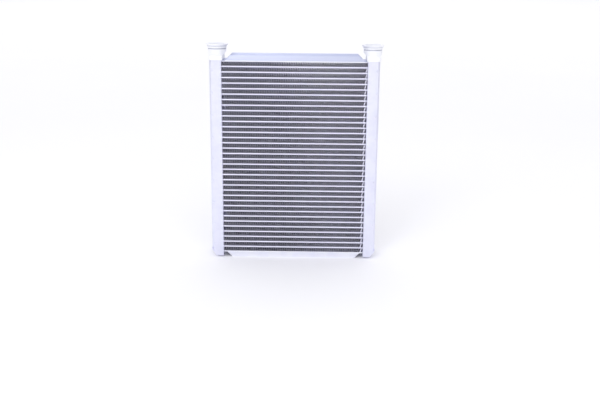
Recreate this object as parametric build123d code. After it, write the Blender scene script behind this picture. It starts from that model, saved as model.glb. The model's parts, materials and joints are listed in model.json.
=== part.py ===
from build123d import *
import math
import os

# Heater core, upright, in millimetres. X runs along the tubes, Y through the core, Z up.
# The origin is under the middle of the core, on the surface that it stands on.

# Matrix of flat tubes and corrugated fins
TUBE_COUNT = 35
TUBE_HEIGHT = 1.7
TUBE_WALL = 0.35
NOSE_CHAMFER = 0.5
TUBE_REACH = 2.0
FIN_HEIGHT = 3.9
FIN_WAVES = 7
FIN_SHEET = 0.3
FIN_SHORT = 1.8
FOOT_BITE = 0.15
CORE_WIDTH = 147.0
CORE_DEPTH = 26.0

# Tanks
TANK_WIDTH = 12.6
TANK_MARGIN = 1.5
HEADER_SHEET = 1.5
HEADER_BEND = 1.2
LEG_SHEET = 1.2
LEG_SETBACK = 2.1
COVER_SHEET = 1.2
COVER_SHOULDER = 3.0
COVER_REACH = 1.0
TANK_FOOT = 1.6
TANK_RISE = 5.0
FOOT_SLOPE_WIDTH = 5.0
FOOT_SLOPE_HEIGHT = 6.5
CAP_SHEET = 1.2
CAP_BEND = 2.5
BRAZE_GAP = 0.05

# Stake marks that lock the header legs over the shoulders of the tank covers
STAKE_COUNT = 9
STAKE_PITCH = 23.0
STAKE_WIDTH = 3.2
STAKE_LENGTH = 2.0
STAKE_DEPTH = 0.7

# Side plates
PLATE_SHEET = 1.0
PLATE_BEND_INSIDE = 0.3
FLANGE_HEIGHT = 6.4
FLANGE_SETBACK = 3.5

# Unions
SKIRT_WALL = 0.8
SKIRT_HEIGHT = 4.4
CROWN_SHEET = 1.0
NECK_RADIUS = 9.6
NECK_HEIGHT = 6.6
NECK_BORE_RADIUS = 5.6
FLANK_HEIGHT = 3.4
FLANK_OVERSHOOT = 1.25
CUP_HEIGHT = 4.5
CUP_OFFSET = 0.8
RIM_RADIUS = 11.6
SOCKET_RADIUS = 8.6

# Places that follow from the sizes above
TUBE_PITCH = TUBE_HEIGHT + FIN_HEIGHT
STACK_HEIGHT = TUBE_COUNT * TUBE_PITCH + FIN_HEIGHT
STACK_TOP = FLANGE_HEIGHT + STACK_HEIGHT
HEADER_FACE = CORE_WIDTH / 2
TANK_BACK = HEADER_FACE + TANK_WIDTH
TANK_MIDDLE = HEADER_FACE + TANK_WIDTH / 2
TANK_TOP = STACK_TOP + TANK_RISE
TANK_DEPTH = CORE_DEPTH + 2 * TANK_MARGIN
LEG_LENGTH = TANK_WIDTH - LEG_SETBACK
COVER_DEPTH = TANK_DEPTH - 2 * LEG_SHEET
CROWN_TOP = TANK_TOP + CROWN_SHEET
SKIRT_FOOT = CROWN_TOP - SKIRT_HEIGHT
SOCKET_FOOT = CROWN_TOP + NECK_HEIGHT
RIM_TOP = SOCKET_FOOT + CUP_HEIGHT
FIN_DEPTH = CORE_DEPTH - 2 * NOSE_CHAMFER
SIDES = {"left": -1, "right": 1}


def upright(outline, bottom, top):
    """Outline in X and Y, raised from one height to another."""
    return extrude(Pos(0, 0, bottom) * outline, amount=top - bottom)


def through(outline, depth):
    """Outline in X and Z, extruded evenly through the core."""
    return extrude(Plane.XZ * outline, amount=depth / 2, both=True)


def along(outline, length):
    """Outline in Y and Z, extruded evenly along the tubes."""
    return extrude(Plane.YZ * outline, amount=length / 2, both=True)


def tube_outline():
    """Section of a flat tube with bevelled noses."""
    return chamfer(Rectangle(CORE_DEPTH, TUBE_HEIGHT).vertices(), NOSE_CHAMFER)


def slot_outline():
    """Section of a header slot, larger than the tube by the braze gap all round."""
    return Rectangle(CORE_DEPTH + 2 * BRAZE_GAP, TUBE_HEIGHT + 2 * BRAZE_GAP)


def tube_middle(row):
    """Height of the middle of a tube, with row 0 the lowest."""
    return FLANGE_HEIGHT + FIN_HEIGHT + TUBE_HEIGHT / 2 + row * TUBE_PITCH


def flat_tube(row):
    """Hollow flat tube whose ends reach into both tanks."""
    length = CORE_WIDTH + 2 * (HEADER_SHEET + TUBE_REACH)
    passage = Rectangle(FIN_DEPTH, TUBE_HEIGHT - 2 * TUBE_WALL)
    return Pos(0, 0, tube_middle(row)) * (along(tube_outline(), length) - along(passage, length))


def corrugated_fin(bottom, bite=0.0):
    """Folded sheet whose crests touch the tubes above and below."""
    length = CORE_WIDTH - FIN_SHORT
    step = length / (2 * FIN_WAVES)
    rise = FIN_HEIGHT + bite
    drop = FIN_SHEET * math.hypot(step, rise) / step
    lows, highs = bottom - bite, bottom + FIN_HEIGHT - drop
    folds = [(-HEADER_FACE + i * step, highs if i % 2 else lows) for i in range(2 * FIN_WAVES + 1)]
    outline = folds + [(x, z + drop) for x, z in reversed(folds)]
    return through(make_face(Polyline(*outline, close=True)), FIN_DEPTH)


def core_row(row):
    """Flat tube with the corrugated fin that is brazed on top of it."""
    fin = corrugated_fin(tube_middle(row) + TUBE_HEIGHT / 2, FOOT_BITE)
    return flat_tube(row) + fin


def tank_side(inset=0.0):
    """Block with the front outline of a right-hand tank, its sloped foot drawn in by an inset."""
    slope_shift = inset * math.hypot(FOOT_SLOPE_WIDTH, FOOT_SLOPE_HEIGHT) / FOOT_SLOPE_WIDTH
    foot = TANK_FOOT + inset
    heel_height = TANK_FOOT + FOOT_SLOPE_HEIGHT + slope_shift
    toe = TANK_BACK - (heel_height - foot) * FOOT_SLOPE_WIDTH / FOOT_SLOPE_HEIGHT
    corners = (
        (HEADER_FACE, foot),
        (toe, foot),
        (TANK_BACK, heel_height),
        (TANK_BACK, TANK_TOP),
        (HEADER_FACE, TANK_TOP),
    )
    return through(make_face(Polyline(*corners, close=True)), TANK_DEPTH)


def header_plate():
    """Right-hand header plate: channel with tube slots and stake marks in its legs."""
    block = Rectangle(LEG_LENGTH, TANK_DEPTH, align=(Align.MIN, Align.CENTER))
    block = fillet(block.vertices().group_by(Axis.X)[0], HEADER_BEND)
    hollow = Rectangle(LEG_LENGTH, COVER_DEPTH, align=(Align.MIN, Align.CENTER))
    channel = Pos(HEADER_FACE, 0) * block - Pos(HEADER_FACE + HEADER_SHEET, 0) * hollow
    plate = upright(channel, 0, TANK_TOP) & tank_side(CAP_SHEET)
    slot = extrude(Plane.YZ * slot_outline(), amount=HEADER_SHEET)
    slots = [Pos(HEADER_FACE, 0, tube_middle(row)) * slot for row in range(TUBE_COUNT)]
    return plate - slots - stake_marks()


def stake_marks():
    """Wedges punched into the edges of both header legs."""
    edge = HEADER_FACE + LEG_LENGTH
    face = TANK_DEPTH / 2
    corners = ((edge, face), (edge - STAKE_LENGTH, face), (edge, face - STAKE_DEPTH))
    wedge = make_face(Polyline(*corners, close=True))
    first = (FLANGE_HEIGHT + STACK_TOP - (STAKE_COUNT - 1) * STAKE_PITCH) / 2
    marks = []
    for number in range(STAKE_COUNT):
        middle = first + number * STAKE_PITCH
        mark = upright(wedge, middle - STAKE_WIDTH / 2, middle + STAKE_WIDTH / 2)
        marks += [mark, mirror(mark, about=Plane.XZ)]
    return marks


def tank_cover():
    """Right-hand tank cover: folded channel nested between the header legs."""
    reach = HEADER_SHEET + TUBE_REACH + COVER_REACH
    length = TANK_WIDTH - reach
    bore_depth = COVER_DEPTH - 2 * COVER_SHEET
    outer = Rectangle(length, COVER_DEPTH, align=(Align.MIN, Align.CENTER))
    outer = fillet(outer.vertices().group_by(Axis.X)[-1], COVER_SHOULDER)
    inner = Rectangle(length - COVER_SHEET, bore_depth, align=(Align.MIN, Align.CENTER))
    inner = fillet(inner.vertices().group_by(Axis.X)[-1], COVER_SHOULDER - COVER_SHEET)
    return upright(Pos(HEADER_FACE + reach, 0) * (outer - inner), 0, TANK_TOP) & tank_side(CAP_SHEET)


def end_cap():
    """Right-hand end cap: bent strip under the foot of the header plate and the tank cover."""
    strip = tank_side() - tank_side(CAP_SHEET)
    toe = strip.edges().filter_by(Axis.Y).group_by(Axis.Z)[0].sort_by(Axis.X)[-1]
    return fillet(toe, CAP_BEND)


def crown_outline(wall=0.0):
    """Section round the tank's top end with bevelled outer corners, grown by a wall."""
    outline = Rectangle(TANK_WIDTH + 2 * wall, TANK_DEPTH + 2 * wall)
    corners = outline.vertices().group_by(Axis.X)[-1]
    return Pos(TANK_MIDDLE, 0) * chamfer(corners, LEG_SETBACK + wall)


def neck():
    """Round neck on the crown, its two flanks cut so that they slope in to the edges of the skirt.

    Each wedge is larger than the overhang that it cuts, by the overshoot, so that it leaves no sliver.
    """
    column = Pos(TANK_MIDDLE - CUP_OFFSET, 0) * upright(Circle(NECK_RADIUS), CROWN_TOP, SOCKET_FOOT)
    for side in SIDES.values():
        edge = TANK_MIDDLE + side * (TANK_WIDTH / 2 + SKIRT_WALL)
        overhang = TANK_MIDDLE - CUP_OFFSET + side * NECK_RADIUS - edge
        corners = (
            (edge, CROWN_TOP),
            (edge + FLANK_OVERSHOOT * overhang, CROWN_TOP),
            (edge + FLANK_OVERSHOOT * overhang, CROWN_TOP + FLANK_OVERSHOOT * FLANK_HEIGHT),
        )
        column -= through(make_face(Polyline(*corners, close=True)), 2 * NECK_RADIUS)
    return column


def union():
    """Right-hand union: skirt over the tank's end, neck and flared cup for the pipe."""
    skirt = upright(crown_outline(SKIRT_WALL), SKIRT_FOOT, CROWN_TOP)
    skirt -= upright(crown_outline(), SKIRT_FOOT, TANK_TOP)
    wall = (
        (SOCKET_RADIUS, SOCKET_FOOT),
        (NECK_RADIUS, SOCKET_FOOT),
        (RIM_RADIUS, RIM_TOP),
        (SOCKET_RADIUS, RIM_TOP),
    )
    cup = revolve(Plane.XZ * make_face(Polyline(*wall, close=True)), Axis.Z)
    bore = upright(Circle(NECK_BORE_RADIUS), TANK_TOP, SOCKET_FOOT)
    return skirt + neck() + Pos(TANK_MIDDLE - CUP_OFFSET, 0) * cup - Pos(TANK_MIDDLE - CUP_OFFSET, 0) * bore


def side_plate():
    """Top side plate: folded channel with its flanges up and their ends cut at 45 degrees."""
    standing = (Align.CENTER, Align.MIN)
    outer = Rectangle(CORE_DEPTH, FLANGE_HEIGHT, align=standing)
    outer = fillet(outer.vertices().group_by(Axis.Y)[0], PLATE_BEND_INSIDE + PLATE_SHEET)
    inner = Rectangle(CORE_DEPTH - 2 * PLATE_SHEET, FLANGE_HEIGHT, align=standing)
    inner = Pos(0, PLATE_SHEET) * fillet(inner.vertices().group_by(Axis.Y)[0], PLATE_BEND_INSIDE)
    channel = along(outer - inner, CORE_WIDTH)
    near = HEADER_FACE - FLANGE_SETBACK
    corners = (
        (near, PLATE_SHEET),
        (near - (FLANGE_HEIGHT - PLATE_SHEET), FLANGE_HEIGHT),
        (HEADER_FACE, FLANGE_HEIGHT),
        (HEADER_FACE, PLATE_SHEET),
    )
    cut = through(make_face(Polyline(*corners, close=True)), CORE_DEPTH)
    return Pos(0, 0, STACK_TOP) * (channel - cut - mirror(cut, about=Plane.YZ))


def build():
    """All the pieces by name."""
    pieces = {f"core_row_{row + 1:02d}": core_row(row) for row in range(TUBE_COUNT)}
    pieces["bottom_fin"] = corrugated_fin(FLANGE_HEIGHT)
    plate = side_plate()
    pieces["top_side_plate"] = plate
    pieces["bottom_side_plate"] = Pos(0, 0, STACK_TOP + FLANGE_HEIGHT) * mirror(plate, about=Plane.XY)
    makers = {"header_plate": header_plate, "tank_cover": tank_cover, "end_cap": end_cap, "union": union}
    for name, maker in makers.items():
        piece = maker()
        for side, sign in SIDES.items():
            pieces[f"{side}_{name}"] = piece if sign > 0 else mirror(piece, about=Plane.YZ)
    return pieces


os.makedirs("parts", exist_ok=True)
for name, piece in build().items():
    export_step(piece, f"parts/{name}.step")
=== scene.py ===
import json
import math
import random

import bmesh
import bpy
from mathutils import Matrix, Vector


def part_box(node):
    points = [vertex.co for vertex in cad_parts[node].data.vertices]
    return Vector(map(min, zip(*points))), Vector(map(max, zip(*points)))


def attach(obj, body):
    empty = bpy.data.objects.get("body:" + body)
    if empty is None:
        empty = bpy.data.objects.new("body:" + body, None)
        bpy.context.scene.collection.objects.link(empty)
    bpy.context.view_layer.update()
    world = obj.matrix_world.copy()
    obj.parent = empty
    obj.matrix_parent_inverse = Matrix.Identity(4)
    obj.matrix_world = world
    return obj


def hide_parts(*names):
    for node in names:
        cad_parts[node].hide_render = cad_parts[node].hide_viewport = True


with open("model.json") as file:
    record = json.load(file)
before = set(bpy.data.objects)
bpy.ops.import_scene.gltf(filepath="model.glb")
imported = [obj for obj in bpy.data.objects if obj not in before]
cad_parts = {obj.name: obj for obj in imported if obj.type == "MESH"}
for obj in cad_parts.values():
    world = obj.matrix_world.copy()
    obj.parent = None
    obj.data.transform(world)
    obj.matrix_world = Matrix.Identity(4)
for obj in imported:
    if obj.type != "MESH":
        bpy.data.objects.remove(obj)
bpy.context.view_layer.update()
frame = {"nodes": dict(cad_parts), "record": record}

bl_info = {
    "name": "Heater core",
    "version": (1, 0, 0),
    "blender": (4, 5, 0),
    "location": "3D View > Sidebar > Heater core",
    "description": "Builds the sheet, fins and unions of a brazed heater core round its fixed frame",
    "category": "Object",
}

# Places read from the frame, in metres. The pieces of the tanks are modelled on the right and mirrored.
ROW_NODES = sorted(name for name in frame["nodes"] if name.startswith("core_row"))
ROW_LOW, ROW_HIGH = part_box(ROW_NODES[0])
ROW_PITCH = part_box(ROW_NODES[1])[0].z - ROW_LOW.z
FIN_LOW, FIN_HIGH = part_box("bottom_fin")
FIN_RISE = FIN_HIGH.z - FIN_LOW.z
TUBE_RISE = ROW_HIGH.z - ROW_LOW.z - FIN_RISE
HEADER_LOW, HEADER_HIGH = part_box("right_header_plate")
COVER_LOW, COVER_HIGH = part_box("right_tank_cover")
CAP_LOW, CAP_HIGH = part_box("right_end_cap")
UNION_LOW, UNION_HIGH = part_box("right_union")
PLATE_LOW, PLATE_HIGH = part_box("top_side_plate")
FOOT_PLATE_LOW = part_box("bottom_side_plate")[0]
TANK_BACK = COVER_HIGH.x
TANK_TOP = COVER_HIGH.z
SOCKET = next(m for m in frame["record"]["mounts"] if m["name"] == "outlet_socket")
SOCKET_AXIS = SOCKET["pos_m"][0]
SOCKET_FOOT = SOCKET["pos_m"][2] - SOCKET["dims"]["length_mm"] / 2000
SOCKET_RADIUS = SOCKET["dims"]["r_mm"] / 1000

# Fins that stop short of the left header plate, counted from the top, and the gap that each leaves in metres
LEFT_GAPS = {7: 0.0022, 9: 0.0034, 29: 0.0034, 32: 0.0022}
# Fins that run on towards the right header plate, counted from the top, and how much longer each is in metres
RIGHT_REACHES = {1: 0.0016, 2: 0.0010, 3: 0.0007, 4: 0.0004}

# Distances in metres within which a place counts as met, and two corners are one
NEAR = 1e-5
SAME = 1e-6
# Least part of a direction that counts as along an axis
ALONG = 0.9
# Distance in metres that a cutting solid reaches past what it cuts
CUTTER_REACH = 0.001
# Patterns of the sheet, per metre: haze clouds about 15 mm wide, rolling streaks about 1 mm wide and
# flux grains of 0.4 mm, which are drawn coarser than the real 0.1 mm so that they show
CLOUDS = 65.0
STREAKS = 900.0
GRAINS = 2500.0
# Patterns of the fins' foil, per metre: clouds about 22 mm wide and grains of 0.6 mm
FOIL_CLOUDS = 45.0
FOIL_GRAINS = 1800.0
# Scales of the streaks by axis, which draw them out about 17 times along the rolling
ROLLED_ACROSS = (0.06, 1, 1)
ROLLED_UP = (1, 1, 0.06)
TURNED = (1, 1, 1)


def linear(code):
    """Linear red, green and blue of an sRGB hex colour."""
    shares = [int(code[i:i + 2], 16) / 255 for i in (1, 3, 5)]
    return tuple(s / 12.92 if s <= 0.04045 else ((s + 0.055) / 1.055) ** 2.4 for s in shares)


def length(name, description, default):
    """A distance that a user can change, given in millimetres."""
    return bpy.props.FloatProperty(
        name=name, description=description, default=default / 1000, min=0, subtype="DISTANCE", unit="LENGTH",
        precision=5,
    )


def count(name, description, default):
    """A whole number that a user can change."""
    return bpy.props.IntProperty(name=name, description=description, default=default, min=1)


def angle(name, description, default):
    """An angle that a user can change, given in degrees."""
    return bpy.props.FloatProperty(
        name=name, description=description, default=math.radians(default), subtype="ANGLE", unit="ROTATION",
    )


def share(name, description, default):
    """A plain number that a user can change."""
    return bpy.props.FloatProperty(name=name, description=description, default=default, min=0)


def power(name, description, default):
    """A light's power that a user can change, given in watts."""
    return bpy.props.FloatProperty(name=name, description=description, default=default, min=0, unit="POWER")


def colour(name, description, code):
    """A colour that a user can change, given as an sRGB hex code."""
    return bpy.props.FloatVectorProperty(
        name=name, description=description, default=linear(code), size=3, min=0, max=1, subtype="COLOR",
    )


class CoreSizes(bpy.types.PropertyGroup):
    """Sizes of the flat tubes and of the corrugated fins between them."""

    tube_wall: length("Tube wall", "Thickness of the flat tube's sheet", 0.35)
    nose_segments: count("Nose segments", "Facets round each nose of a tube", 6)
    fin_waves: count("Fin waves", "Whole waves along a fin", 61)
    fin_sheet: length("Fin sheet", "Thickness of the fin's sheet", 0.14)
    end_lip: length("End lip", "Width of the lip that the cutter leaves on a fin's last fold", 1.0)
    fin_stray: length("Fin stray", "Most that a fin differs from its nominal length", 0.4)


class TankSizes(bpy.types.PropertyGroup):
    """Sizes of the header plates, the tank covers and the end caps."""

    header_bend: length("Header bend", "Outer radius of the header plate's bends", 1.2)
    header_sheet: length("Header sheet", "Thickness of the header plate", 1.2)
    slot_gap: length("Slot gap", "Room between a tube and its slot", 0.05)
    stake_count: count("Stake marks", "Marks punched along each header leg", 9)
    stake_pitch: length("Stake pitch", "Distance between stake marks", 23.0)
    stake_radius: length("Stake radius", "Radius of the punch's round nose", 1.8)
    stake_depth: length("Stake depth", "Depth of a stake mark", 1.0)
    cover_shoulder: length("Cover shoulder", "Outer radius of the tank cover's bends", 3.0)
    cover_sheet: length("Cover sheet", "Thickness of the tank cover", 1.2)
    cap_sheet: length("Cap sheet", "Thickness of the end cap", 1.2)
    cap_bend: length("Cap bend", "Run of the end cap's bend", 1.2)
    slope_width: length("Slope width", "Width of the sloped corner of the foot", 5.0)
    slope_height: length("Slope height", "Height of the sloped corner of the foot", 6.5)
    edge: length("Edge softening", "Radius of the sheared edges of the sheet", 0.12)
    sliver: length("Sliver", "Width of the slivers that the cuts leave, which are merged away", 0.015)


class UnionSizes(bpy.types.PropertyGroup):
    """Sizes of the unions on top of the tanks."""

    skirt_wall: length("Skirt wall", "Thickness of the skirt round the tank's top", 0.8)
    crown_sheet: length("Crown sheet", "Thickness of the crown that closes the tank", 1.0)
    corner: length("Corner", "Radius of the skirt's upright corners", 2.9)
    crown_edge: length("Crown edge", "Radius of the crown's outer edge", 0.8)
    neck_radius: length("Neck radius", "Radius of the round neck", 9.4)
    neck_bore: length("Neck bore", "Radius of the bore into the tank", 5.6)
    groove: length("Groove", "Depth of the turned groove between neck and cup", 0.5)
    cup_radius: length("Cup radius", "Radius of the cup's foot", 9.6)
    lip_radius: length("Lip radius", "Radius where the cup turns out into its lip", 10.0)
    lip_height: length("Lip height", "Height of the flared lip", 2.3)
    round: length("Round", "Radius of the turned edges", 0.2)
    flank_height: length("Flank height", "Height of the sloping flanks between skirt and neck", 3.4)
    rim_segments: count("Rim segments", "Facets round the cup", 96)


class PlateSizes(bpy.types.PropertyGroup):
    """Sizes of the two side plates."""

    sheet: length("Sheet", "Thickness of the side plates", 1.0)
    bend: length("Bend", "Outer radius of the bends between web and flanges", 0.6)
    setback: length("Setback", "Distance from the header plate to the flange's sloping end", 3.5)
    # Height of the painted highlight along the bend of the upper plate
    highlight_height: length("Film height", "Height of the flux film along the bend of the upper plate", 1.3)


class Finish(bpy.types.PropertyGroup):
    """Colours of the brazed aluminium, some of which are painted light and shade."""

    sheet: colour("Sheet", "Brazed sheet of the tanks, and haze on the lower side plate", "#E9EAF9")
    haze: colour("Flux haze", "Thin flux film on the sheet", "#DFE0F2")
    tube: colour("Tube", "Flat tubes", "#E2E2F1")
    # Near the faces of the core the fin colour is painted light, and the fin depth colour is painted shade
    # deep in the core
    fin: colour("Fin", "Fin sheet near the faces of the core", "#ECEBFC")
    fin_deep_shade: colour("Fin depth", "Fin sheet deep in the core", "#BBB9D8")
    # The fin haze colour is a painted sheen: lighter foil deep in the core on the right
    fin_sheen: colour("Fin haze", "Fin sheet deep in the core where the flux haze is thickest", "#FAF9FF")
    # The two plate colours are lit and shaded copies of one metal: the upper painted darker as shade, the
    # lower lighter as painted light
    shaded_top_plate: colour("Top plate", "Upper side plate", "#C9CEE4")
    lit_foot_plate: colour("Foot plate", "Lower side plate, which holds more of the flux film", "#F4F5FC")
    # On the upper plate's rear sloping ends this grey is the sheared edge and also painted shade
    cut: colour("Cut", "Sheared ends of the upper side plate", "#8C8E96")
    # Painted shade: a darker grey in the unions' groove and under their lip
    groove: colour("Groove", "Grey flux in the turned groove and under the lip of the unions", "#C9CBD6")
    union: colour("Union", "Machined unions", "#F5F6FB")
    union_haze: colour("Union haze", "Thin flux film on the unions", "#EEEFF5")


class Studio(bpy.types.PropertyGroup):
    """The camera's place and the studio round the core."""

    pitch: angle("Pitch", "How far the camera looks down", 15.61)
    yaw: angle("Yaw", "How far the camera is turned to the left", 0.85)
    roll: angle("Roll", "How far the camera leans", 0.50)
    across: length("Across", "Camera's shift to the right of the core's foot, across the view", 7.0)
    above: length("Above", "Camera's shift above the core's foot, across the view", 57.3)
    away: length("Away", "Distance from the camera to the core's foot, along the view", 968.9)
    lens: bpy.props.FloatProperty(
        name="Lens", description="Focal length on a 36 mm wide sensor", default=53.92, min=1,
        subtype="DISTANCE_CAMERA",
    )
    floor: colour("Floor", "Pale floor", "#FAFAFD")
    sky: colour("Sky", "Light from all round", "#FDFDFF")
    sky_strength: share("Sky strength", "Strength of the light all round", 0.95)
    side_share: share("Side share", "Share of that light that comes from the two sides", 0.78)
    key: power("Key", "Power of the soft light above the camera", 5.0)
    fill: power("Fill", "Power of the soft light on the left", 3.5)
    back: power("Back light", "Power of the light over the floor behind the core", 28.0)


class HeaterCoreSettings(bpy.types.PropertyGroup):
    """All the settings of the heater core."""

    core: bpy.props.PointerProperty(name="Core", description="Tubes and fins", type=CoreSizes)
    tank: bpy.props.PointerProperty(name="Tank", description="Header plates and tanks", type=TankSizes)
    union: bpy.props.PointerProperty(name="Union", description="Unions", type=UnionSizes)
    plate: bpy.props.PointerProperty(name="Plate", description="Side plates", type=PlateSizes)
    finish: bpy.props.PointerProperty(name="Finish", description="Colours", type=Finish)
    studio: bpy.props.PointerProperty(name="Studio", description="Camera and floor", type=Studio)


# Modelling helpers


def deselect_all():
    """Leave object mode with nothing selected."""
    if bpy.context.mode != "OBJECT":
        bpy.ops.object.mode_set(mode="OBJECT")
    bpy.ops.object.select_all(action="DESELECT")


def select_only(piece):
    """Select one object and make it the active one."""
    deselect_all()
    piece.select_set(True)
    bpy.context.view_layer.objects.active = piece


def edit(piece):
    """Start edit mode on one object."""
    select_only(piece)
    bpy.ops.object.mode_set(mode="EDIT")


def middle_and_direction(item):
    """Middle of a vertex, edge or face, with an edge's own direction or the normal of the others."""
    if isinstance(item, bmesh.types.BMVert):
        return item.co, item.normal
    if isinstance(item, bmesh.types.BMEdge):
        start, end = (v.co for v in item.verts)
        return (start + end) / 2, (end - start).normalized()
    return item.calc_center_median(), item.normal


def pick(kind, test):
    """Select only the vertices, edges or faces in edit mode whose middle and direction pass a test."""
    mesh = bpy.context.edit_object.data
    form = bmesh.from_edit_mesh(mesh)
    bpy.context.tool_settings.mesh_select_mode = (kind == "VERT", kind == "EDGE", kind == "FACE")
    for item in (*form.verts, *form.edges, *form.faces):
        item.select_set(False)
    items = {"VERT": form.verts, "EDGE": form.edges, "FACE": form.faces}[kind]
    chosen = [item for item in items if test(*middle_and_direction(item))]
    if not chosen:
        raise RuntimeError(f"nothing to pick on {bpy.context.edit_object.name}")
    for item in chosen:
        item.select_set(True)
    form.select_flush_mode()
    bmesh.update_edit_mesh(mesh)


def fit(name, low, high):
    """Name the new primitive of size 1 and stretch it between two corners; a flat one stays flat."""
    piece = bpy.context.object
    piece.name = name
    piece.location = (low + high) / 2
    piece.scale = [size or 1 for size in high - low]
    bpy.ops.object.transform_apply(location=True, rotation=True, scale=True)
    return piece


def block(name, low, high):
    """Box between two corners, with its place in its mesh."""
    deselect_all()
    bpy.ops.mesh.primitive_cube_add(size=1)
    return fit(name, Vector(low), Vector(high))


def modify(piece, kind, **settings):
    """Add a modifier and apply it."""
    select_only(piece)
    modifier = piece.modifiers.new(kind.title(), kind)
    for name, value in settings.items():
        setattr(modifier, name, value)
    bpy.ops.object.modifier_apply(modifier=modifier.name)


def combine(piece, other, operation):
    """Unite a piece with another solid or cut it away, and remove the other."""
    modify(piece, "BOOLEAN", operation=operation, object=other, solver="MANIFOLD")
    bpy.data.objects.remove(other)


def join(pieces):
    """Join several objects into the first."""
    deselect_all()
    for piece in pieces:
        piece.select_set(True)
    bpy.context.view_layer.objects.active = pieces[0]
    bpy.ops.object.join()
    return pieces[0]


def changed_copy(piece, name, change):
    """Copy with a mesh of its own, to which a matrix is applied."""
    twin = piece.copy()
    twin.data = piece.data.copy()
    twin.name = name
    twin.data.transform(change)
    bpy.context.scene.collection.objects.link(twin)
    return twin


def mirrored_copy(piece, name, normal=(1, 0, 0)):
    """Copy mirrored in the plane through the origin that has that normal."""
    twin = changed_copy(piece, name, Matrix.Scale(-1, 4, normal))
    twin.data.flip_normals()
    return twin


def stacked(first, stem):
    """A piece of the lowest row with its copies in all the rows above."""
    pieces = [first]
    for row in range(1, len(ROW_NODES)):
        rise = Matrix.Translation((0, 0, row * ROW_PITCH))
        pieces.append(changed_copy(first, f"{stem}_{row + 1:02d}", rise))
    return pieces


def recalculate(piece, gap=SAME):
    """Merge corners that lie closer than a gap and turn all faces outwards."""
    edit(piece)
    bpy.ops.mesh.select_all(action="SELECT")
    bpy.ops.mesh.remove_doubles(threshold=gap)
    bpy.ops.mesh.normals_make_consistent(inside=False)
    bpy.ops.object.mode_set(mode="OBJECT")


def complete(piece, material, nodes, smooth=30):
    """Shade a finished piece, give it its material, and fix it to the frame."""
    select_only(piece)
    bpy.ops.object.shade_smooth_by_angle(angle=math.radians(smooth))
    piece.data.materials.clear()
    piece.data.materials.append(material)
    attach(piece, "root")
    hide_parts(*nodes)


def refinish(piece, material, test):
    """Give another material to the faces of a finished piece whose middle and normal pass a test."""
    piece.data.materials.append(material)
    for face in piece.data.polygons:
        if test(face.center, face.normal):
            face.material_index = len(piece.data.materials) - 1


# Materials


def add_node(tree, kind, inputs=None, **settings):
    """Add a node with its settings; an input is a value or the socket that feeds it."""
    node = tree.nodes.new(kind)
    for name, value in settings.items():
        setattr(node, name, value)
    for name, value in (inputs or {}).items():
        if isinstance(value, bpy.types.NodeSocket):
            tree.links.new(value, node.inputs[name])
        else:
            node.inputs[name].default_value = value
    return node


def new_material(name):
    """Material with its node tree and a shader, or the one of that name and two Nones where it exists."""
    existing = bpy.data.materials.get(name)
    if existing:
        return existing, None, None
    material = bpy.data.materials.new(name)
    material.use_nodes = True
    tree = material.node_tree
    tree.nodes.clear()
    shader = add_node(tree, "ShaderNodeBsdfPrincipled")
    add_node(tree, "ShaderNodeOutputMaterial", {"Surface": shader.outputs[0]})
    return material, tree, shader


def brazed_sheet(name, metal, haze, grain=ROLLED_UP, roughness=(0.38, 0.55), metallic=0.8):
    """Aluminium after furnace brazing: matt and pale, with streaks of the rolling and a thin flux haze."""
    material, tree, shader = new_material(name)
    if tree is None:
        return material
    place = add_node(tree, "ShaderNodeTexCoord").outputs["Object"]
    clouds = add_node(
        tree, "ShaderNodeTexNoise", {"Vector": place, "Scale": CLOUDS, "Detail": 4.0, "Roughness": 0.6},
    )
    along = add_node(tree, "ShaderNodeMapping", {"Vector": place, "Scale": grain})
    streaks = add_node(
        tree, "ShaderNodeTexNoise", {
            "Vector": along.outputs[0], "Scale": STREAKS, "Detail": 3.0, "Roughness": 0.7,
        },
    )
    grains = add_node(tree, "ShaderNodeTexNoise", {"Vector": place, "Scale": GRAINS, "Detail": 2.0})
    # Where the clouds are thick, the haze covers up to three quarters of the metal's tint
    film = add_node(
        tree, "ShaderNodeMapRange", {
            "Value": clouds.outputs[0], "From Min": 0.42, "From Max": 0.72, "To Max": 0.75,
        },
    )
    tint = add_node(
        tree, "ShaderNodeMix", {"Factor": film.outputs[0], 6: (*metal, 1), 7: (*haze, 1)}, data_type="RGBA",
    )
    gloss = add_node(
        tree, "ShaderNodeMapRange", {
            "Value": streaks.outputs[0], "From Min": 0.3, "From Max": 0.7,
            "To Min": roughness[0], "To Max": roughness[1],
        },
    )
    relief = add_node(
        tree, "ShaderNodeMath", {0: streaks.outputs[0], 1: grains.outputs[0]}, operation="ADD",
    )
    # Streaks and grains are a few hundredths of a millimetre high
    bump = add_node(
        tree, "ShaderNodeBump", {"Height": relief.outputs[0], "Strength": 0.35, "Distance": 0.00006},
    )
    tree.links.new(tint.outputs[2], shader.inputs["Base Color"])
    tree.links.new(gloss.outputs[0], shader.inputs["Roughness"])
    tree.links.new(bump.outputs[0], shader.inputs["Normal"])
    shader.inputs["Metallic"].default_value = metallic
    return material


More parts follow.
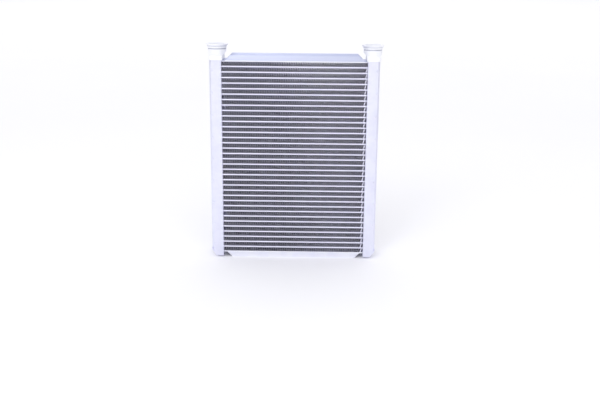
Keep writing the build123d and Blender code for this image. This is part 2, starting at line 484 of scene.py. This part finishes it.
def fin_foil(name, face, deep, sheen):
    """Thin clad foil of the fins, with painted light near the faces and painted shade and a painted sheen
    deep in the core.
    """
    material, tree, shader = new_material(name)
    if tree is None:
        return material
    place = add_node(tree, "ShaderNodeTexCoord").outputs["Object"]
    split = add_node(tree, "ShaderNodeSeparateXYZ", {0: place})
    depth = add_node(tree, "ShaderNodeMath", {0: split.outputs["Y"]}, operation="ABSOLUTE")
    # Painted shade: the foil fades to the darker colour from half a millimetre to 4 mm behind each face of
    # the core
    sheared = ROW_HIGH.y - 0.0005
    shaded = ROW_HIGH.y - 0.004
    lit = add_node(
        tree, "ShaderNodeMapRange", {"Value": depth.outputs[0], "From Min": shaded, "From Max": sheared},
    )
    # Painted sheen: deep in the core the foil is painted lighter round an upright strip 40 mm right of the
    # middle, fading out downwards
    strip_place, strip_core, strip_end = 0.04, 0.012, 0.05
    beside = add_node(tree, "ShaderNodeMath", {0: split.outputs["X"], 1: strip_place}, operation="SUBTRACT")
    strip = add_node(tree, "ShaderNodeMath", {0: beside.outputs[0]}, operation="ABSOLUTE")
    along = add_node(
        tree, "ShaderNodeMapRange", {
            "Value": strip.outputs[0], "From Min": strip_core, "From Max": strip_end,
            "To Min": 1.0, "To Max": 0.0,
        },
    )
    above = add_node(
        tree, "ShaderNodeMapRange", {"Value": split.outputs["Z"], "From Max": PLATE_LOW.z, "To Min": 0.4},
    )
    # Mask of the painted sheen
    haze = add_node(
        tree, "ShaderNodeMath", {0: along.outputs[0], 1: above.outputs[0]}, operation="MULTIPLY",
    )
    inner = add_node(
        tree, "ShaderNodeMix", {"Factor": haze.outputs[0], 6: (*deep, 1), 7: (*sheen, 1)}, data_type="RGBA",
    )
    tint = add_node(
        tree, "ShaderNodeMix", {"Factor": lit.outputs[0], 6: inner.outputs[2], 7: (*face, 1)},
        data_type="RGBA",
    )
    # Painted light and shade: the middle of each fold is painted lighter where louvres would catch the light,
    # the strips by the crests darker
    louvre_end, crest_start, crest_shade = FIN_RISE * 0.25, FIN_RISE * 0.4, 0.72
    rise = add_node(tree, "ShaderNodeMath", {0: split.outputs["Z"], 1: FIN_LOW.z}, operation="SUBTRACT")
    level = add_node(tree, "ShaderNodeMath", {0: rise.outputs[0], 1: ROW_PITCH}, operation="MODULO")
    offset = add_node(tree, "ShaderNodeMath", {0: level.outputs[0], 1: FIN_RISE / 2}, operation="SUBTRACT")
    away = add_node(tree, "ShaderNodeMath", {0: offset.outputs[0]}, operation="ABSOLUTE")
    painted_louvre_light = add_node(
        tree, "ShaderNodeMapRange", {
            "Value": away.outputs[0], "From Min": louvre_end, "From Max": crest_start,
            "To Min": 1.0, "To Max": crest_shade,
        },
    )
    clouds = add_node(
        tree, "ShaderNodeTexNoise", {"Vector": place, "Scale": FOIL_CLOUDS, "Detail": 3.0, "Roughness": 0.6},
    )
    grains = add_node(tree, "ShaderNodeTexNoise", {"Vector": place, "Scale": FOIL_GRAINS, "Detail": 2.0})
    patch = add_node(
        tree, "ShaderNodeMapRange", {
            "Value": clouds.outputs[0], "From Min": 0.3, "From Max": 0.7, "To Min": 0.85,
        },
    )
    shade_and_clouds = add_node(
        tree, "ShaderNodeMath", {0: patch.outputs[0], 1: painted_louvre_light.outputs[0]}, operation="MULTIPLY",
    )
    shade = add_node(
        tree, "ShaderNodeMix", {"Factor": 1.0, 6: tint.outputs[2], 7: shade_and_clouds.outputs[0]},
        data_type="RGBA", blend_type="MULTIPLY",
    )
    gloss = add_node(
        tree, "ShaderNodeMapRange", {"Value": grains.outputs[0], "To Min": 0.2, "To Max": 0.45},
    )
    # Under the painted sheen the foil is also made less metallic, so that the painted patch reads brighter
    bare = add_node(tree, "ShaderNodeMapRange", {"Value": haze.outputs[0], "To Min": 1.0, "To Max": 0.1})
    tree.links.new(shade.outputs[2], shader.inputs["Base Color"])
    tree.links.new(gloss.outputs[0], shader.inputs["Roughness"])
    tree.links.new(bare.outputs[0], shader.inputs["Metallic"])
    return material


def studio_floor(name, tint):
    """Pale painted board under and behind the core: dull, with faint clouds half a metre wide."""
    material, tree, shader = new_material(name)
    if tree is None:
        return material
    place = add_node(tree, "ShaderNodeTexCoord").outputs["Object"]
    cloud = add_node(tree, "ShaderNodeTexNoise", {"Vector": place, "Scale": 2.0, "Detail": 2.0})
    shade = add_node(
        tree, "ShaderNodeMapRange", {
            "Value": cloud.outputs[0], "From Min": 0.3, "From Max": 0.7, "To Min": 0.985,
        },
    )
    mixed = add_node(
        tree, "ShaderNodeMix", {"Factor": 1.0, 6: (*tint, 1), 7: shade.outputs[0]},
        data_type="RGBA", blend_type="MULTIPLY",
    )
    tree.links.new(mixed.outputs[2], shader.inputs["Base Color"])
    shader.inputs["Roughness"].default_value = 0.9
    shader.inputs["Specular IOR Level"].default_value = 0.2
    return material


# Pieces


def rounded_bar(name, low, high, segments):
    """Bar along X whose two noses are half rounds."""
    bar = block(name, low, high)
    edit(bar)
    pick("EDGE", lambda middle, along: abs(along.x) > ALONG)
    # Just short of half the height, so that the bevels above and below don't meet
    radius = (high.z - low.z) * 0.49
    bpy.ops.mesh.bevel(offset=radius, segments=segments, affect="EDGES")
    bpy.ops.object.mode_set(mode="OBJECT")
    return bar


class HEATERCORE_OT_flat_tubes(bpy.types.Operator):
    """Build the flat tubes of the core"""

    bl_idname = "heatercore.flat_tubes"
    bl_label = "Flat tubes"

    def execute(self, context):
        settings = context.scene.heater_core
        high = Vector((ROW_HIGH.x, ROW_HIGH.y, ROW_LOW.z + TUBE_RISE))
        first = rounded_bar("flat_tube_01", ROW_LOW, high, settings.core.nose_segments)
        edit(first)
        pick("FACE", lambda middle, along: abs(along.x) > ALONG)
        bpy.ops.mesh.inset(thickness=settings.core.tube_wall)
        bpy.ops.mesh.bridge_edge_loops()
        bpy.ops.object.mode_set(mode="OBJECT")
        recalculate(first)
        # The clad ran to the joints in the furnace, which leaves the tubes a little rougher than the tanks
        metal = brazed_sheet(
            "brazed_tube", settings.finish.tube, settings.finish.haze, grain=ROLLED_ACROSS,
            roughness=(0.4, 0.6),
        )
        for tube, node in zip(stacked(first, "flat_tube"), ROW_NODES):
            complete(tube, metal, [node], smooth=40)
        return {"FINISHED"}


def one_wave(name, pitch):
    """One wave of the lowest fin at its left end, as a bare sheet."""
    # Shares of the pitch and of the height at each fold line of the wave, which starts and ends on a crest
    folds = ((0, 1), (0.07, 0.92), (0.43, 0.08), (0.5, 0), (0.57, 0.08), (0.93, 0.92), (1, 1))
    columns = len(folds) - 1
    step = pitch / columns
    deselect_all()
    bpy.ops.mesh.primitive_grid_add(x_subdivisions=columns, y_subdivisions=1, size=1)
    wave = fit(name, FIN_LOW, Vector((FIN_LOW.x + pitch, FIN_HIGH.y, FIN_LOW.z)))
    edit(wave)
    for number, (run, height) in enumerate(folds):
        line = FIN_LOW.x + number * step
        pick("VERT", lambda middle, along: abs(middle.x - line) < NEAR)
        bpy.ops.transform.translate(value=(run * pitch - number * step, 0, height * FIN_RISE))
    bpy.ops.object.mode_set(mode="OBJECT")
    return wave


class HEATERCORE_OT_fins(bpy.types.Operator):
    """Build the corrugated fins between the tubes"""

    bl_idname = "heatercore.fins"
    bl_label = "Corrugated fins"

    def execute(self, context):
        settings = context.scene.heater_core
        sizes = settings.core
        pitch = (FIN_HIGH.x - FIN_LOW.x) / sizes.fin_waves
        first = one_wave("corrugated_fin_01", pitch)
        modify(
            first, "ARRAY", count=sizes.fin_waves, use_relative_offset=False, use_constant_offset=True,
            constant_offset_displace=(pitch, 0, 0), use_merge_vertices=True, merge_threshold=SAME,
        )
        # The uppermost fin has no lip
        rise = Matrix.Translation((0, 0, len(ROW_NODES) * ROW_PITCH))
        plain = changed_copy(first, f"corrugated_fin_{len(ROW_NODES) + 1:02d}", rise)
        self.lip(first, pitch, sizes)
        for fin in (first, plain):
            modify(fin, "SOLIDIFY", thickness=sizes.fin_sheet, offset=0, use_even_offset=True)
        finish = settings.finish
        foil = fin_foil("clad_fin_foil", finish.fin, finish.fin_deep_shade, finish.fin_sheen)
        chance = random.Random(7)
        fins = stacked(first, "corrugated_fin") + [plain]
        for place, fin, node in zip(range(len(fins), 0, -1), fins, ["bottom_fin"] + ROW_NODES):
            self.trim(fin, place, chance.uniform(-1, 1) * sizes.fin_stray)
            complete(fin, foil, [node], smooth=35)
        return {"FINISHED"}

    def trim(self, fin, place, stray):
        """Stretch a fin as its place from the top asks, and else by the stray."""
        gap = LEFT_GAPS.get(place, 0)
        growth = RIGHT_REACHES.get(place, stray)
        stretch = 1 + (growth - gap) / (FIN_HIGH.x - FIN_LOW.x)
        anchor = Matrix.Translation((FIN_HIGH.x if gap else FIN_LOW.x, 0, 0))
        fin.data.transform(anchor @ Matrix.Scale(stretch, 4, (1, 0, 0)) @ anchor.inverted())

    def lip(self, fin, pitch, sizes):
        """Turn a lip outwards on the front edge of the last flank, as the cutter leaves it."""
        last = FIN_HIGH.x - pitch / 2
        front = FIN_LOW.y + NEAR
        edit(fin)
        pick("EDGE", lambda middle, along: middle.x > last and middle.y < front and abs(along.z) > 0.3)
        bpy.ops.mesh.extrude_region_move(TRANSFORM_OT_translate={"value": (sizes.end_lip, 0, 0)})
        bpy.ops.object.mode_set(mode="OBJECT")


def folded_channel(name, low, high, bend_x, bend, sheet, open_side):
    """Upright channel, open on one side and at both ends, its foot cut to stand on the end cap."""
    piece = block(name, low, high)
    edit(piece)
    pick("EDGE", lambda middle, along: abs(along.z) > ALONG and abs(middle.x - bend_x) < NEAR)
    bpy.ops.mesh.bevel(offset=bend, segments=5, affect="EDGES")
    pick("FACE", lambda middle, along: along.x * open_side > 0.99 or abs(along.z) > ALONG)
    bpy.ops.mesh.delete(type="FACE")
    sizes = bpy.context.scene.heater_core.tank
    outward = Vector((sizes.slope_height, 0, -sizes.slope_width)).normalized()
    heel = Vector((TANK_BACK, 0, CAP_LOW.z + sizes.slope_height))
    bpy.ops.mesh.select_all(action="SELECT")
    bpy.ops.mesh.bisect(plane_co=heel - outward * sizes.cap_sheet, plane_no=outward, clear_outer=True)
    bpy.ops.object.mode_set(mode="OBJECT")
    modify(piece, "SOLIDIFY", thickness=sheet, offset=-1, use_even_offset=True)
    return piece


def soften(piece, width):
    """Round the sheared edges of a piece a little."""
    modify(
        piece, "BEVEL", width=width, segments=2, limit_method="ANGLE", angle_limit=math.radians(50),
        use_clamp_overlap=True, loop_slide=False,
    )


def tank_metal(settings):
    """Finish shared by the header plates, tank covers and end caps, with streaks that run upright."""
    return brazed_sheet("brazed_tank_sheet", settings.finish.sheet, settings.finish.haze)


def both_sides(right, stem, material, smooth=30):
    """Finish a right-hand piece and its mirrored left-hand twin."""
    left = mirrored_copy(right, f"{stem}_left")
    complete(right, material, [f"right_{stem}"], smooth)
    complete(left, material, [f"left_{stem}"], smooth)
    return left


class HEATERCORE_OT_header_plates(bpy.types.Operator):
    """Build the header plates with their tube slots and stake marks"""

    bl_idname = "heatercore.header_plates"
    bl_label = "Header plates"

    def execute(self, context):
        settings = context.scene.heater_core
        sizes = settings.tank
        plate = folded_channel(
            "header_plate_right", HEADER_LOW, HEADER_HIGH, HEADER_LOW.x, sizes.header_bend,
            sizes.header_sheet, open_side=1,
        )
        soften(plate, sizes.edge)
        combine(plate, self.slots(sizes), "DIFFERENCE")
        combine(plate, self.punches(sizes), "DIFFERENCE")
        recalculate(plate, sizes.sliver)
        both_sides(plate, "header_plate", tank_metal(settings))
        return {"FINISHED"}

    def slots(self, sizes):
        """Bars that cut the tube slots."""
        gap = Vector((0, sizes.slot_gap, sizes.slot_gap))
        low = Vector((HEADER_LOW.x - sizes.header_sheet, ROW_LOW.y, ROW_LOW.z)) - gap
        high = Vector((ROW_HIGH.x, ROW_HIGH.y, ROW_LOW.z + TUBE_RISE)) + gap
        return join(stacked(rounded_bar("slots", low, high, segments=4), "slot"))

    def punches(self, sizes):
        """Round noses that punch the stake marks into the edges of both legs."""
        middle = (ROW_LOW.z + PLATE_LOW.z - FIN_RISE) / 2
        start = middle - (sizes.stake_count - 1) * sizes.stake_pitch / 2
        reach = HEADER_HIGH.y + sizes.stake_radius - sizes.stake_depth
        punches = []
        for side in (-1, 1):
            for number in range(sizes.stake_count):
                deselect_all()
                bpy.ops.mesh.primitive_uv_sphere_add(
                    segments=24, ring_count=12, radius=sizes.stake_radius,
                    location=(HEADER_HIGH.x, side * reach, start + number * sizes.stake_pitch),
                )
                bpy.ops.object.transform_apply(location=True)
                punches.append(bpy.context.object)
        return join(punches)


class HEATERCORE_OT_tank_covers(bpy.types.Operator):
    """Build the tank covers that close the header plates"""

    bl_idname = "heatercore.tank_covers"
    bl_label = "Tank covers"

    def execute(self, context):
        settings = context.scene.heater_core
        sizes = settings.tank
        cover = folded_channel(
            "tank_cover_right", COVER_LOW, COVER_HIGH, TANK_BACK, sizes.cover_shoulder,
            sizes.cover_sheet, open_side=-1,
        )
        soften(cover, sizes.edge)
        both_sides(cover, "tank_cover", tank_metal(settings))
        return {"FINISHED"}


class HEATERCORE_OT_end_caps(bpy.types.Operator):
    """Build the bent strips that close the feet of the tanks"""

    bl_idname = "heatercore.end_caps"
    bl_label = "End caps"

    def execute(self, context):
        settings = context.scene.heater_core
        sizes = settings.tank
        toe = TANK_BACK - sizes.slope_width
        deselect_all()
        bpy.ops.mesh.primitive_plane_add(size=1)
        cap = fit("end_cap_right", CAP_LOW, Vector((toe, CAP_HIGH.y, CAP_LOW.z)))
        edit(cap)
        pick("EDGE", lambda middle, along: abs(middle.x - toe) < NEAR)
        # The slope starts a third too long, and is cut off below at the tank's back
        slope = Vector((sizes.slope_width, 0, sizes.slope_height)) * 1.3
        bpy.ops.mesh.extrude_region_move(TRANSFORM_OT_translate={"value": slope})
        pick("EDGE", lambda middle, along: abs(middle.x - toe) < NEAR)
        bpy.ops.mesh.bevel(offset=sizes.cap_bend, segments=5, affect="EDGES")
        bpy.ops.object.mode_set(mode="OBJECT")
        modify(cap, "SOLIDIFY", thickness=sizes.cap_sheet, offset=1, use_even_offset=True)
        edit(cap)
        bpy.ops.mesh.select_all(action="SELECT")
        bpy.ops.mesh.bisect(plane_co=(TANK_BACK, 0, 0), plane_no=(1, 0, 0), clear_outer=True, use_fill=True)
        bpy.ops.object.mode_set(mode="OBJECT")
        recalculate(cap)
        soften(cap, sizes.edge)
        both_sides(cap, "end_cap", tank_metal(settings))
        return {"FINISHED"}


def turned(name, rings, segments):
    """Solid turned round the socket's axis, from rings of radius and height."""
    deselect_all()
    radius, height = rings[0]
    bpy.ops.mesh.primitive_circle_add(
        vertices=segments, radius=radius, fill_type="NGON", location=(SOCKET_AXIS, 0, height),
    )
    piece = bpy.context.object
    piece.name = name
    bpy.ops.object.transform_apply(location=True)
    edit(piece)
    bpy.ops.mesh.select_all(action="SELECT")
    for (radius, height), (next_radius, next_height) in zip(rings, rings[1:]):
        bpy.ops.mesh.extrude_region_move(TRANSFORM_OT_translate={"value": (0, 0, next_height - height)})
        growth = next_radius / radius
        bpy.ops.transform.resize(value=(growth, growth, 1), center_override=(SOCKET_AXIS, 0, next_height))
    bpy.ops.object.mode_set(mode="OBJECT")
    recalculate(piece)
    return piece


class HEATERCORE_OT_unions(bpy.types.Operator):
    """Build the unions with their skirts, necks and flared cups"""

    bl_idname = "heatercore.unions"
    bl_label = "Unions"

    def execute(self, context):
        settings = context.scene.heater_core
        sizes = settings.union
        union = self.skirt(sizes)
        combine(union, self.funnel(sizes), "UNION")
        rim = UNION_HIGH.z
        edge = sizes.skirt_wall / 2
        inside = (
            (sizes.neck_bore, TANK_TOP - CUTTER_REACH),
            (sizes.neck_bore, SOCKET_FOOT - edge),
            (sizes.neck_bore + edge, SOCKET_FOOT),
            (SOCKET_RADIUS, SOCKET_FOOT),
            (SOCKET_RADIUS, rim - edge),
            (SOCKET_RADIUS + edge, rim),
            (SOCKET_RADIUS + edge, rim + CUTTER_REACH),
        )
        combine(union, turned("passage", inside, sizes.rim_segments), "DIFFERENCE")
        finish = settings.finish
        # A turned surface has no rolling streaks, and under its flux haze it looks satin and nearly white
        metal = brazed_sheet(
            "turned_and_brazed_aluminium", finish.union, finish.union_haze, grain=TURNED,
            roughness=(0.5, 0.7), metallic=0.2,
        )
        # Painted shade: a darker grey, duller finish in the groove and under the lip
        flux = brazed_sheet(
            "flux_in_groove", finish.groove, finish.groove, grain=TURNED, roughness=(0.6, 0.8), metallic=0.3,
        )
        left = both_sides(union, "union", metal, smooth=35)
        for piece in (union, left):
            refinish(piece, flux, lambda middle, along: self.gets_groove_shade(middle, sizes))
        return {"FINISHED"}

    def gets_groove_shade(self, middle, sizes):
        """Whether a face with that middle lies in the groove or on the line under the lip."""
        radius = math.hypot(abs(middle.x) - SOCKET_AXIS, middle.y)
        outside = radius > sizes.neck_radius - sizes.groove * 1.5
        in_groove = -2 * sizes.groove < middle.z - SOCKET_FOOT < sizes.round / 2
        under_lip = abs(middle.z - (UNION_HIGH.z - sizes.lip_height)) < sizes.round
        return outside and (in_groove or under_lip)

    def skirt(self, sizes):
        """Cap that fits over the tank's top end."""
        top = TANK_TOP + sizes.crown_sheet
        skirt = block(
            "union_right", (HEADER_LOW.x - sizes.skirt_wall, UNION_LOW.y, UNION_LOW.z),
            (TANK_BACK + sizes.skirt_wall, UNION_HIGH.y, top),
        )
        edit(skirt)
        pick("EDGE", lambda middle, along: abs(along.z) > ALONG and middle.x > SOCKET_AXIS)
        bpy.ops.mesh.bevel(offset=sizes.corner, segments=6, affect="EDGES")
        pick("EDGE", lambda middle, along: abs(along.z) > ALONG and middle.x < SOCKET_AXIS)
        bpy.ops.mesh.bevel(offset=sizes.skirt_wall, segments=3, affect="EDGES")
        pick("EDGE", lambda middle, along: abs(along.z) < 1 - ALONG and abs(middle.z - top) < NEAR)
        bpy.ops.mesh.bevel(offset=sizes.crown_edge, segments=3, affect="EDGES")
        pick("FACE", lambda middle, along: along.z < -ALONG)
        bpy.ops.mesh.inset(thickness=sizes.skirt_wall)
        bpy.ops.mesh.extrude_region_move(TRANSFORM_OT_translate={"value": (0, 0, TANK_TOP - UNION_LOW.z)})
        bpy.ops.object.mode_set(mode="OBJECT")
        recalculate(skirt)
        return skirt

    def funnel(self, sizes):
        """Round neck with sloping flanks, and the flared cup above its groove."""
        top = UNION_HIGH.z
        crown = TANK_TOP + sizes.crown_sheet
        rim = UNION_HIGH.x - SOCKET_AXIS
        edge = sizes.round
        lip = top - sizes.lip_height
        waist = sizes.neck_radius - sizes.groove
        outside = (
            (sizes.neck_radius, crown - sizes.crown_sheet / 2),
            (sizes.neck_radius, SOCKET_FOOT - sizes.groove - 2 * edge),
            (waist, SOCKET_FOOT - sizes.groove),
            (waist, SOCKET_FOOT - edge),
            (sizes.cup_radius, SOCKET_FOOT + edge),
            (sizes.lip_radius, lip - edge),
            (sizes.lip_radius - edge, lip),
            (sizes.lip_radius + edge, lip + edge),
            (rim - edge / 2, top - 2 * edge),
            (rim, top - edge),
            (rim - edge, top),
        )
        funnel = turned("funnel", outside, sizes.rim_segments)
        edit(funnel)
        flanks = (
            (HEADER_LOW.x - sizes.skirt_wall, SOCKET_AXIS - sizes.neck_radius),
            (TANK_BACK + sizes.skirt_wall, SOCKET_AXIS + sizes.neck_radius),
        )
        for foot, neck in flanks:
            outward = Vector((sizes.flank_height * (1 if neck > foot else -1), 0, -abs(neck - foot)))
            bpy.ops.mesh.select_all(action="SELECT")
            bpy.ops.mesh.bisect(
                plane_co=(foot, 0, crown), plane_no=outward.normalized(), clear_outer=True, use_fill=True,
            )
        bpy.ops.object.mode_set(mode="OBJECT")
        recalculate(funnel)
        return funnel


class HEATERCORE_OT_side_plates(bpy.types.Operator):
    """Build the side plates above and below the matrix"""

    bl_idname = "heatercore.side_plates"
    bl_label = "Side plates"

    def execute(self, context):
        settings = context.scene.heater_core
        sizes = settings.plate
        web_top = PLATE_LOW.z + sizes.sheet
        plate = block("side_plate_top", PLATE_LOW, (PLATE_HIGH.x, PLATE_HIGH.y, web_top))
        foot_end = PLATE_HIGH.x - sizes.setback
        flange_face = PLATE_HIGH.y - sizes.sheet
        # The flanges rise from strips of the web, which these lines bound
        self.cut(plate, ((foot_end, 0, 0), (-foot_end, 0, 0)), (1, 0, 0))
        self.cut(plate, ((0, flange_face, 0), (0, -flange_face, 0)), (0, 1, 0))
        edit(plate)
        pick("FACE", lambda middle, along: (
            along.z > ALONG and abs(middle.x) < foot_end and abs(middle.y) > flange_face
        ))
        rise = PLATE_HIGH.z - web_top
        bpy.ops.mesh.extrude_region_move(TRANSFORM_OT_translate={"value": (0, 0, rise)})
        # Both ends of each flange slope at 45 degrees
        for side in (-1, 1):
            pick("VERT", lambda middle, along: middle.z > PLATE_HIGH.z - NEAR and middle.x * side > 0)
            bpy.ops.transform.translate(value=(-side * rise, 0, 0))
        pick("EDGE", lambda middle, along: (
            abs(along.x) > ALONG and middle.z < PLATE_LOW.z + NEAR and abs(middle.y) > PLATE_HIGH.y - NEAR
        ))
        bpy.ops.mesh.bevel(offset=sizes.bend, segments=4, affect="EDGES")
        bpy.ops.object.mode_set(mode="OBJECT")
        # Painted highlight: below this height the upright faces of the upper plate's bend take the lighter
        # finish
        film = PLATE_LOW.z + sizes.highlight_height
        self.cut(plate, ((0, 0, film),), (0, 0, 1))
        soften(plate, settings.tank.edge)
        foot = mirrored_copy(plate, "side_plate_bottom", normal=(0, 0, 1))
        foot.data.transform(Matrix.Translation((0, 0, PLATE_HIGH.z + FOOT_PLATE_LOW.z)))
        # Painted shade: the upper plate is a darker bluish tint than the lower, and grey where sheared on its
        # rear sloping ends
        # Painted light: the lower plate and a band along the upper plate's bend are lighter
        finish = settings.finish
        brazed = self.metal("brazed_plate", finish.shaded_top_plate, finish.shaded_top_plate)
        painted_light = self.metal("fluxed_plate", finish.lit_foot_plate, finish.sheet)
        sheared = self.metal("sheared_aluminium", finish.cut, finish.cut)
        complete(plate, brazed, ["top_side_plate"])
        complete(foot, painted_light, ["bottom_side_plate"])
        # The rear sloping ends take the sheared grey, which is also painted shade there
        refinish(plate, sheared, lambda middle, along: abs(along.x) > 0.5 and middle.y > 0)
        # Painted highlight: the upright faces of the bend below that height take the lighter finish
        refinish(plate, painted_light, lambda middle, along: middle.z < film and abs(along.y) > 0.3)
        return {"FINISHED"}

    def metal(self, name, tint, haze):
        """Finish of a side plate, whose rolling streaks run from tank to tank."""
        return brazed_sheet(name, tint, haze, grain=ROLLED_ACROSS, roughness=(0.35, 0.55))

    def cut(self, plate, places, direction):
        """Cut lines all round a piece, in parallel planes."""
        edit(plate)
        for place in places:
            bpy.ops.mesh.select_all(action="SELECT")
            bpy.ops.mesh.bisect(plane_co=place, plane_no=direction)
        bpy.ops.object.mode_set(mode="OBJECT")


class HEATERCORE_OT_stage(bpy.types.Operator):
    """Set up the floor, the light and the camera"""

    bl_idname = "heatercore.stage"
    bl_label = "Stage"

    def execute(self, context):
        settings = context.scene.heater_core
        studio = settings.studio
        self.floor(settings)
        self.camera(context, studio)
        context.scene.world = self.sky(studio)
        # Place, aim, size and power of each soft light
        lights = (
            ("key", (0, -1.3, 1.5), (0, 0, 0), 1.2, studio.key),
            ("fill", (-0.55, -1.3, 1.1), (0, 0, 0.12), 0.5, studio.fill),
            ("back", (0, 4, 2.5), (0, 4, 0), 5.0, studio.back),
        )
        for name, place, aim, size, watts in lights:
            self.light(name, Vector(place), Vector(aim), size, watts)
        context.scene.view_settings.view_transform = "Standard"
        return {"FINISHED"}

    def sky(self, studio):
        """Even pale light that is weaker from the two sides, where the studio is open."""
        # Parts of X in a direction between which the light fades
        fade_start, fade_end = 0.55, 0.95
        world = bpy.data.worlds.new("studio")
        world.use_nodes = True
        tree = world.node_tree
        direction = add_node(tree, "ShaderNodeTexCoord").outputs["Generated"]
        split = add_node(tree, "ShaderNodeSeparateXYZ", {0: direction})
        aside = add_node(tree, "ShaderNodeMath", {0: split.outputs["X"]}, operation="ABSOLUTE")
        light = add_node(
            tree, "ShaderNodeMapRange", {
                "Value": aside.outputs[0], "From Min": fade_start, "From Max": fade_end,
                "To Min": studio.sky_strength, "To Max": studio.sky_strength * studio.side_share,
            },
        )
        background = tree.nodes["Background"]
        background.inputs["Color"].default_value = (*studio.sky, 1)
        tree.links.new(light.outputs[0], background.inputs["Strength"])
        return world

    def floor(self, settings):
        """Pale board that curves up far behind the core."""
        reach = 12
        rear = reach - 0.1
        deselect_all()
        bpy.ops.mesh.primitive_plane_add(size=2 * reach)
        floor = bpy.context.object
        floor.name = "floor"
        edit(floor)
        pick("EDGE", lambda middle, along: middle.y > rear)
        bpy.ops.mesh.extrude_region_move(TRANSFORM_OT_translate={"value": (0, 0, reach / 2)})
        pick("EDGE", lambda middle, along: middle.y > rear and middle.z < 0.1 and abs(along.x) > ALONG)
        bpy.ops.mesh.bevel(offset=reach / 3, segments=24, affect="EDGES")
        bpy.ops.object.mode_set(mode="OBJECT")
        bpy.ops.object.shade_smooth()
        floor.data.materials.append(studio_floor("painted_board", settings.studio.floor))

    def camera(self, context, studio):
        """Camera at the photograph's angle, its place given along its own axes."""
        turn = (
            Matrix.Rotation(studio.yaw, 4, "Z")
            @ Matrix.Rotation(math.pi / 2 - studio.pitch, 4, "X")
            @ Matrix.Rotation(studio.roll, 4, "Z")
        )
        data = bpy.data.cameras.new("camera")
        data.lens = studio.lens
        data.sensor_width = 36
        camera = bpy.data.objects.new("camera", data)
        place = turn @ Vector((studio.across, studio.above, studio.away))
        camera.matrix_world = Matrix.Translation(place) @ turn
        context.scene.collection.objects.link(camera)
        context.scene.camera = camera

    def light(self, name, place, aim, size, watts):
        """Square soft light turned to a point."""
        data = bpy.data.lights.new(name, "AREA")
        data.size = size
        data.energy = watts
        light = bpy.data.objects.new(name, data)
        turn = (aim - place).to_track_quat("-Z", "Y").to_matrix().to_4x4()
        light.matrix_world = Matrix.Translation(place) @ turn
        bpy.context.scene.collection.objects.link(light)


class HEATERCORE_PT_panel(bpy.types.Panel):
    """Builders and settings of the heater core"""

    bl_label = "Heater core"
    bl_idname = "HEATERCORE_PT_panel"
    bl_space_type = "VIEW_3D"
    bl_region_type = "UI"
    bl_category = "Heater core"

    def draw(self, context):
        settings = context.scene.heater_core
        for operator in OPERATORS:
            self.layout.operator(operator.bl_idname)
        for group in (
            settings.core, settings.tank, settings.union, settings.plate, settings.finish, settings.studio,
        ):
            box = self.layout.box()
            for name in group.__annotations__:
                box.prop(group, name)


OPERATORS = (
    HEATERCORE_OT_stage,
    HEATERCORE_OT_flat_tubes,
    HEATERCORE_OT_fins,
    HEATERCORE_OT_header_plates,
    HEATERCORE_OT_tank_covers,
    HEATERCORE_OT_end_caps,
    HEATERCORE_OT_unions,
    HEATERCORE_OT_side_plates,
)
GROUPS = (CoreSizes, TankSizes, UnionSizes, PlateSizes, Finish, Studio, HeaterCoreSettings)


def register():
    """Register the settings, the operators and the panel."""
    for group in GROUPS + OPERATORS + (HEATERCORE_PT_panel,):
        bpy.utils.register_class(group)
    bpy.types.Scene.heater_core = bpy.props.PointerProperty(
        name="Heater core", description="Settings of the heater core", type=HeaterCoreSettings,
    )


def unregister():
    """Remove what register added."""
    del bpy.types.Scene.heater_core
    for group in reversed(GROUPS + OPERATORS + (HEATERCORE_PT_panel,)):
        bpy.utils.unregister_class(group)


def main():
    """Build the whole heater core."""
    register()
    bpy.ops.heatercore.stage()
    bpy.ops.heatercore.flat_tubes()
    bpy.ops.heatercore.fins()
    bpy.ops.heatercore.header_plates()
    bpy.ops.heatercore.tank_covers()
    bpy.ops.heatercore.end_caps()
    bpy.ops.heatercore.unions()
    bpy.ops.heatercore.side_plates()


if __name__ == "__main__":
    main()
